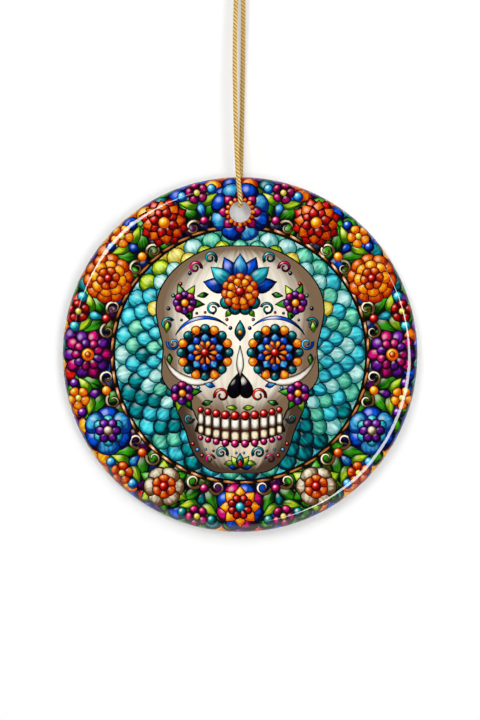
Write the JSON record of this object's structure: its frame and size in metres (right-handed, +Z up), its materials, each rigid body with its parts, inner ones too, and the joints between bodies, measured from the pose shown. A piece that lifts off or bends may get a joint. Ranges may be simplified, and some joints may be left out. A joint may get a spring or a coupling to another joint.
{
  "type": "hanging sugar skull ornament",
  "caption": "Flat round glazed porcelain ornament with a printed sugar skull face, hung from a thin gold twisted cord loop that passes through a hole near the rim and ends in a knot.",
  "frame": {"origin": "top of the hanging loop, at the underside of the knot, where a hook, peg or twig takes hold", "axes": "+Z up along the cord, the printed face looks towards -Y, +X to the right as seen from the front"},
  "size_m": [0.07, 0.0056, 0.1251],
  "materials": {
    "porcelain": "glossy white glaze",
    "printed_coat": "many-coloured print under a clear gloss coat",
    "gold_cord": "twisted metallic thread"
  },
  "bodies": {
    "knot": {"cord_knot": "gold_cord", "cord_front_tail": "gold_cord", "cord_back_tail": "gold_cord"},
    "cord_loop": {"cord_front_run": "gold_cord", "cord_back_run": "gold_cord", "cord_bight": "gold_cord"},
    "ornament": {"ceramic_disc": "porcelain", "print_coat": "printed_coat"}
  },
  "joints": [
    {"name": "cord_twist", "type": "hinge", "parent": "knot", "child": "cord_loop", "pos_m": [0, 0, 0], "axis": [0, 0, 1], "range_deg": [-180, 180], "stiffness_Nm_per_rad": 0.0000066},
    {"name": "disc_swing", "type": "hinge", "parent": "cord_loop", "child": "ornament", "pos_m": [0, 0, -0.0476], "axis": [0, 1, 0], "range_deg": [-90, 90]}
  ]
}
